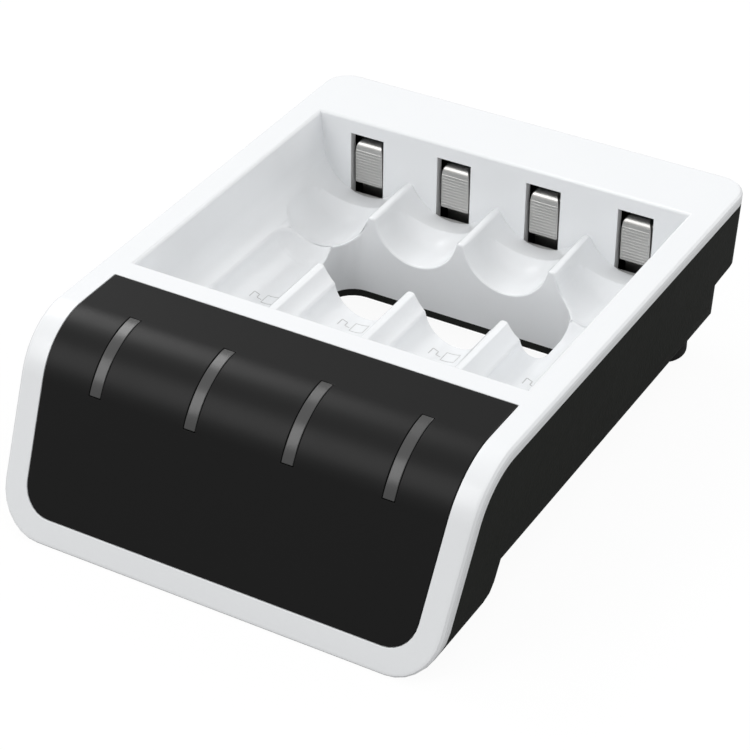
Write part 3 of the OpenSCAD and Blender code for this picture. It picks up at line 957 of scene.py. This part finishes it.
@dataclass
class GrooveMarks:
    """Small raised sign on each groove's floor that shows how a cell lies, grey with painted shade of its
    moulded lines.
    """

    radius: float = 5.4 * MM
    axis_height: float = 17.6 * MM
    line: float = 0.085 * MM
    sink: float = 0.03 * MM
    step: Polyline = ((-2.5, 4.4), (-2.5, 6.0), (-1.6, 6.0), (-1.6, 5.1), (-0.8, 5.1))
    cell: Polyline = ((-0.5, 4.5), (1.8, 4.5), (1.8, 6.7), (-0.5, 6.7))

    def build(self, shop: Workshop) -> None:
        """Draw the sign in every slot.

        Args:
            shop: Materials and the calls that place a piece.
        """
        points = [Vector((x, y, 0)) * MM for x, y in (*self.step, *self.cell)]
        split, sides = len(self.step), len(self.cell)
        edges = [(i, i + 1) for i in range(split - 1)]
        edges += [(split + i, split + (i + 1) % sides) for i in range(sides)]
        centres = slot_centres()
        # the marks take a grey finish that is painted shade for the shadows of the thin moulded lines
        marks = GrooveLines().build("groove_marks", points, {
            "Groove Radius": self.radius,
            "Axis Height": self.axis_height - self.sink,
            "Line Radius": self.line,
            "First Slot": centres[0],
            "Slot Pitch": centres[1] - centres[0],
            "Slots": len(centres),
            "Material": shop.materials["mark_painted_shade"],
        }, edges)
        shop.place(marks, HOUSING, "cover_white")


@dataclass
class Leaf:
    """Sprung leaf at the back of one slot, with fine ribs across its face."""

    number: int
    leg: float = 8.7 * MM
    bend: float = 1.4 * MM
    edge: float = 0.12 * MM
    bend_edge: float = 0.26 * MM
    corner: float = 0.6 * MM
    drop: float = 1.1 * MM
    top_corner: float = 0.75 * MM
    half_strip: float = 0.2 * MM
    near: float = 0.05 * MM
    front_leg: float = 1 * MM
    front_facing: float = 0.5
    rib_start: float = 0.55 * MM
    rib_count: int = 11
    rib_pitch: float = 0.53 * MM
    rib_radius: float = 0.22 * MM
    rib_rise: float = 0.045 * MM
    rib_margin: float = 0.2 * MM

    def __post_init__(self) -> None:
        """Take the strip's place from its box."""
        self.node = f"rear_contact_{self.number}"
        self.low, self.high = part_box(self.node)
        self.x = (self.low.x + self.high.x) / 2
        self.free_end = self.high.z - self.leg
        self.bend_low = self.high.z - self.bend
        self.axis = Vector((0, self.low.y + self.bend, self.bend_low - self.drop))

    def lowered(self, point: Vector) -> Vector:
        """Let the top bend down in its window and round its corners.

        Args:
            point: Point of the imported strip.

        Returns:
            The shift of the point.
        """
        if point.z < self.bend_low - self.near:
            return Vector()
        share = min(max((point.z - self.bend_low) / self.bend, 0.0), 1.0)
        inset = self.top_corner * (1 - math.sqrt(1 - share * share))
        return Vector((math.copysign(inset, self.x - point.x), 0, -self.drop))

    def edge_radius(self, middle: Vector, one: Vector, other: Vector) -> float:
        """Radius along an edge, larger at the free end's corners and round the bend.

        Args:
            middle: Middle of the edge.
            one: Normal of the face on one side.
            other: Normal of the face on the other side.

        Returns:
            The radius, or 0 on the inside of the bend.
        """
        at_end = abs(middle.z - self.free_end) < self.near
        at_corner = max(abs(one.y), abs(other.y)) < self.front_facing
        if at_end and at_corner and middle.y < self.low.y + self.front_leg:
            return self.corner
        if middle.z > self.axis.z:
            reach = math.hypot(middle.y - self.axis.y, middle.z - self.axis.z)
            return self.bend_edge if reach > self.bend - self.half_strip else 0.0
        return self.edge

    def build(self, shop: Workshop, rods: RodRow) -> None:
        """Round the leaf, lay the ribs across it and put both on its body.

        Args:
            shop: Materials and the calls that place a piece.
            rods: Tool that makes the ribs.
        """
        nickel = shop.materials["contact_nickel"]
        body = f"leaf_{self.number}"
        soft = SoftCopy(self.node, self.edge_radius, self.corner, segments=4, shift=self.lowered)
        shop.place(soft.build(nickel), body, "contact_nickel", [self.node])
        y = self.low.y + self.rib_radius - self.rib_rise
        first = self.free_end + self.rib_start
        places = [Vector((self.x, y, first + i * self.rib_pitch)) for i in range(self.rib_count)]
        ribs = rods.build(f"{self.node}_ribs", places, {
            "Length": self.high.x - self.low.x - 2 * self.rib_margin,
            "Radius": self.rib_radius,
            "Material": nickel,
        })
        shop.place(ribs, body, "contact_nickel")


@dataclass
class Contacts:
    """Sprung leaves at the back of the bay and stepped strips at its front."""

    edge: float = 0.12 * MM
    rods: RodRow = field(default_factory=RodRow)

    def build(self, shop: Workshop) -> None:
        """Make the leaf and round the front strip of every slot.

        Args:
            shop: Materials and the calls that place a piece.
        """
        for n in SLOTS:
            Leaf(n).build(shop, self.rods)
            soft = SoftCopy(f"front_contact_{n}", even(self.edge), self.edge, segments=2)
            strip = soft.build(shop.materials["contact_nickel"])
            shop.place(strip, HOUSING, "contact_nickel", [f"front_contact_{n}"])


@dataclass
class Screws:
    """Screws of the housing and the board, with a cross recess in each head."""

    recess_share: float = 1.15
    recess_width: float = 0.5 * MM
    recess_depth: float = 0.55 * MM
    boxes: BoxRow = field(default_factory=BoxRow)

    def build(self, shop: Workshop) -> None:
        """Cut the recesses; the housing's screws point up, the board's down.

        Args:
            shop: Materials and the calls that place a piece.
        """
        steel = shop.materials["screw_steel"]
        for node, head_below in (("housing_screws", True), ("board_screws", False)):
            mesh = bpy.data.meshes.new(node + "_plain")
            work = welded(node)
            work.verts.index_update()
            heads, radius = self._heads(work, head_below)
            work.to_mesh(mesh)
            work.free()
            own_normals = mesh.attributes.get("custom_normal")
            if own_normals is not None:
                mesh.attributes.remove(own_normals)
            copy = linked(node + "_plain", mesh)
            length = self.recess_share * radius
            for size in ((length, self.recess_width), (self.recess_width, length)):
                bar = Vector((*size, 2 * self.recess_depth))
                cutter = self.boxes.build(node + "_cutter", heads, {"Size": bar, "Material": steel})
                cut = copy.modifiers.new("recess", "BOOLEAN")
                cut.operation = "DIFFERENCE"
                cut.solver = "EXACT"
                cut.object = cutter
                copy = baked(copy, node + "_plain", steel)
                bpy.data.objects.remove(cutter)
            smooth_faces(copy.data)
            for face in copy.data.polygons:
                face.material_index = 0
            shop.place(shaded(copy, node + "_cut"), HOUSING, "screw_steel", [node])

    def _heads(self, work: bmesh.types.BMesh, below: bool) -> tuple[list[Vector], float]:
        """Find the head of each loose screw.

        Args:
            work: Mesh of all the screws of one kind.
            below: Whether the heads are at the lower ends.

        Returns:
            The middle of each head's face, and a head's radius.
        """
        seen: set[int] = set()
        heads: list[Vector] = []
        radius = 0.0
        for first in work.verts:
            if first.index in seen:
                continue
            seen.add(first.index)
            island = [first]
            for vertex in island:
                for edge in vertex.link_edges:
                    other = edge.other_vert(vertex)
                    if other.index not in seen:
                        seen.add(other.index)
                        island.append(other)
            xs = [vertex.co.x for vertex in island]
            ys = [vertex.co.y for vertex in island]
            zs = [vertex.co.z for vertex in island]
            end = min(zs) if below else max(zs)
            heads.append(Vector(((min(xs) + max(xs)) / 2, (min(ys) + max(ys)) / 2, end)))
            radius = (max(xs) - min(xs)) / 2
        return heads, radius


@dataclass
class Inside:
    """Board, its components and the inlet."""

    chip_leads: int = 8
    chip_pitch: float = 0.8 * MM
    chip_reach: float = 0.5 * MM
    transistor_pitch: float = 1.6 * MM
    transistor_reach: float = 0.4 * MM
    foot_height: float = 0.08 * MM
    foot_size: Triple = (0.9, 0.6, 0.16)
    leg_reach: float = 0.05 * MM
    leg_height: float = 0.4 * MM
    leg_size: Triple = (0.3, 0.34, 0.6)
    pad_count: int = 10
    pad_pitch: float = 0.5 * MM
    pad_shift: float = 0.5 * MM
    pad_size: Triple = (0.25, 3.4, 0.06)
    coil_depth: float = 0.32 * MM
    coil_turns: float = 6.0
    coil_inner: float = 0.7 * MM
    coil_outer: float = 2.1 * MM
    wire_radius: float = 0.11 * MM
    boxes: BoxRow = field(default_factory=BoxRow)

    def build(self, shop: Workshop) -> None:
        """Dress the pieces inside the housing.

        Args:
            shop: Materials and the calls that place a piece.
        """
        finishes = {
            "circuit_board": "board_green",
            "charge_controller": "chip_black",
            "choke": "choke_ferrite",
            "capacitor_1": "capacitor_can",
            "capacitor_2": "capacitor_can",
            "inlet_socket": "socket_steel",
            "inlet_tongue": "rail_black",
            "contact_rail_left": "rail_black",
            "contact_rail_right": "rail_black",
        }
        for n in SLOTS:
            finishes[f"led_{n}"] = "led_body"
            finishes[f"channel_transistor_{n}"] = "chip_black"
        for node, finish in finishes.items():
            shop.dress_node(node, finish)
        self._leads(shop)
        self._pads(shop)
        self._winding(shop)

    def _leads(self, shop: Workshop) -> None:
        """Bent tin leads beside the controller and before the transistors.

        Args:
            shop: Materials and the calls that place a piece.
        """
        feet: list[Vector] = []
        legs: list[Vector] = []
        low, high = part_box("charge_controller")
        for i in range(self.chip_leads):
            y = (low.y + high.y) / 2 + (i - (self.chip_leads - 1) / 2) * self.chip_pitch
            for side, x in ((-1, low.x), (1, high.x)):
                feet.append(Vector((x + side * self.chip_reach, y, low.z + self.foot_height)))
                legs.append(Vector((x + side * self.leg_reach, y, low.z + self.leg_height)))
        for n in SLOTS:
            low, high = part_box(f"channel_transistor_{n}")
            for i in (-1, 0, 1):
                x = (low.x + high.x) / 2 + i * self.transistor_pitch
                feet.append(Vector((x, low.y - self.transistor_reach, low.z + self.foot_height)))
                legs.append(Vector((x, low.y - self.leg_reach, low.z + self.leg_height)))
        tin = shop.materials["tin_lead"]
        for name, places, size in (
            ("lead_feet", feet, self.foot_size),
            ("lead_legs", legs, self.leg_size),
        ):
            row = self.boxes.build(name, places, {"Size": Vector(size) * MM, "Material": tin})
            shop.place(row, HOUSING, "socket_steel")

    def _pads(self, shop: Workshop) -> None:
        """Row of gold pads on both faces of the inlet's tongue.

        Args:
            shop: Materials and the calls that place a piece.
        """
        low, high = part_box("inlet_tongue")
        middle = (low + high) / 2
        first = middle.x - (self.pad_count - 1) / 2 * self.pad_pitch
        places = [
            Vector((first + i * self.pad_pitch, middle.y + self.pad_shift, z))
            for i in range(self.pad_count)
            for z in (low.z, high.z)
        ]
        pads = self.boxes.build("inlet_pads", places, {
            "Size": Vector(self.pad_size) * MM,
            "Material": shop.materials["gold_pad"],
        })
        shop.place(pads, HOUSING, "contact_nickel")

    def _winding(self, shop: Workshop) -> None:
        """Copper winding in the choke's round recess.

        Args:
            shop: Materials and the calls that place a piece.
        """
        low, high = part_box("choke")
        middle = (low + high) / 2
        place = Vector((middle.x, middle.y, high.z - self.coil_depth))
        coil = FlatCoil().build("choke_winding", [place], {
            "Turns": self.coil_turns,
            "Inner Radius": self.coil_inner,
            "Outer Radius": self.coil_outer,
            "Wire Radius": self.wire_radius,
            "Material": shop.materials["copper_wire"],
        })
        shop.place(coil, HOUSING, "choke_ferrite")


@dataclass(frozen=True)
class Lamp:
    """Soft box that points at the part: place and size in metres, power in watts."""

    name: str
    place: Triple
    size: tuple[float, float]
    power: float

    def hang(self) -> None:
        """Put the lamp into the scene, with its first side along X."""
        data = bpy.data.lights.new(self.name, "AREA")
        data.shape = "RECTANGLE"
        data.size, data.size_y = self.size
        data.energy = self.power
        lamp = bpy.data.objects.new(self.name, data)
        bpy.context.scene.collection.objects.link(lamp)
        back = Vector(self.place).normalized()
        up = back.cross(Vector((1.0, 0.0, 0.0))).normalized()
        turn = Matrix((up.cross(back), up, back)).transposed()
        lamp.matrix_world = Matrix.Translation(Vector(self.place)) @ turn.to_4x4()


LAMPS = (
    Lamp("back_strip", (-0.7, 0.4, 0.9), (0.42, 0.46), 3.0),
    Lamp("front_strip", (-0.48, -0.72, 0.78), (0.44, 0.56), 2.2),
    Lamp("rear_box", (0.35, 0.75, 0.5), (0.6, 0.6), 2.0),
)


@dataclass
class Studio:
    """Camera, lamps, floor and background."""

    azimuth: float = math.radians(30.1)
    elevation: float = math.radians(34.647)
    place: Vector = field(default_factory=lambda: Vector((159.585, -282.640, 233.319)) * MM)
    lens: float = 125.96
    sensor: float = 36.0
    clip: float = 0.01
    shift: tuple[float, float] = (0.0231, 0.0040)
    horizon: float = 0.55
    zenith: float = 0.99
    back_share: float = 0.6
    floor_white: float = 0.85
    floor_tone: float = 0.4
    floor_glow: float = 1.11
    floor_half: float = 3.0

    def build(self) -> None:
        """Set up everything round the part."""
        scene = bpy.context.scene
        scene.view_settings.view_transform = "Standard"
        self._camera(scene)
        self._world(scene)
        self._floor()
        for lamp in LAMPS:
            lamp.hang()

    def _camera(self, scene: bpy.types.Scene) -> None:
        """Place the camera at the photograph's angle.

        Args:
            scene: Scene that it belongs to.
        """
        data = bpy.data.cameras.new("view")
        data.lens = self.lens
        data.sensor_width = self.sensor
        data.shift_x, data.shift_y = self.shift
        data.clip_start = self.clip
        camera = bpy.data.objects.new("view", data)
        scene.collection.objects.link(camera)
        back = Vector((
            math.sin(self.azimuth) * math.cos(self.elevation),
            -math.cos(self.azimuth) * math.cos(self.elevation),
            math.sin(self.elevation),
        ))
        right = Vector((math.cos(self.azimuth), math.sin(self.azimuth), 0.0))
        turn = Matrix((right, back.cross(right), back)).transposed()
        camera.matrix_world = Matrix.Translation(self.place) @ turn.to_4x4()
        scene.camera = camera

    @staticmethod
    def _seen(sheet: NodeSheet) -> Socket:
        """Mask of the rays that show the background itself.

        Args:
            sheet: Sheet of the material or the world.

        Returns:
            The output that carries the mask.
        """
        path = sheet.add("ShaderNodeLightPath")
        both = sheet.add("ShaderNodeMath", operation="MAXIMUM")
        sheet.link(path.outputs["Is Camera Ray"], both.inputs[0])
        sheet.link(path.outputs["Is Transmission Ray"], both.inputs[1])
        return both.outputs["Value"]

    def _world(self, scene: bpy.types.Scene) -> None:
        """White to the camera; as light, brighter from above and dimmer from the back.

        Args:
            scene: Scene that it belongs to.
        """
        world = bpy.data.worlds.new("studio")
        sheet = NodeSheet.fresh(world)
        result = sheet.add("ShaderNodeOutputWorld")
        white, light = (sheet.add("ShaderNodeBackground") for _ in range(2))
        for entry in (white, light):
            entry.inputs["Color"].default_value = (*grey(1.0), 1.0)
        way = sheet.add("ShaderNodeTexCoord")
        parts = sheet.add("ShaderNodeSeparateXYZ")
        sheet.link(way.outputs["Generated"], parts.inputs["Vector"])
        level = sheet.add("ShaderNodeMath", operation="MULTIPLY")
        sheet.link(sheet.scaled(parts.outputs["Z"], self.horizon, self.zenith), level.inputs[0])
        sheet.link(sheet.scaled(parts.outputs["Y"], 1.0, self.back_share), level.inputs[1])
        sheet.link(level.outputs["Value"], light.inputs["Strength"])
        mix = sheet.mixed(self._seen(sheet), light.outputs["Background"], white.outputs["Background"])
        sheet.link(mix, result.inputs["Surface"])
        scene.world = world

    def _floor(self) -> None:
        """Pale floor that shows white and keeps a light shadow."""
        material = bpy.data.materials.new("floor_pale")
        sheet = NodeSheet.fresh(material)
        result = sheet.add("ShaderNodeOutputMaterial")
        matt = sheet.add("ShaderNodeBsdfDiffuse")
        matt.inputs["Color"].default_value = (*grey(self.floor_tone), 1.0)
        white = sheet.add("ShaderNodeEmission")
        white.inputs["Strength"].default_value = self.floor_glow
        share = sheet.add("ShaderNodeMath", operation="MULTIPLY")
        share.inputs[1].default_value = self.floor_white
        sheet.link(self._seen(sheet), share.inputs[0])
        mix = sheet.mixed(share.outputs["Value"], matt.outputs["BSDF"], white.outputs["Emission"])
        sheet.link(mix, result.inputs["Surface"])
        mesh = bpy.data.meshes.new("floor")
        half = self.floor_half
        corners = [(x * half, y * half, 0.0) for x, y in ((-1, -1), (1, -1), (1, 1), (-1, 1))]
        mesh.from_pydata(corners, [], [(0, 1, 2, 3)])
        mesh.materials.append(material)
        linked("floor", mesh)


def main() -> None:
    """Build the sub-assemblies in order."""
    shop = Workshop()
    shape = HousingShape()
    Studio().build()
    Cover(shape).build(shop)
    FrontPanel().build(shop)
    Base(shape).build(shop)
    GrooveMarks().build(shop)
    Contacts().build(shop)
    Screws().build(shop)
    Inside().build(shop)


if __name__ == "__main__":
    main()
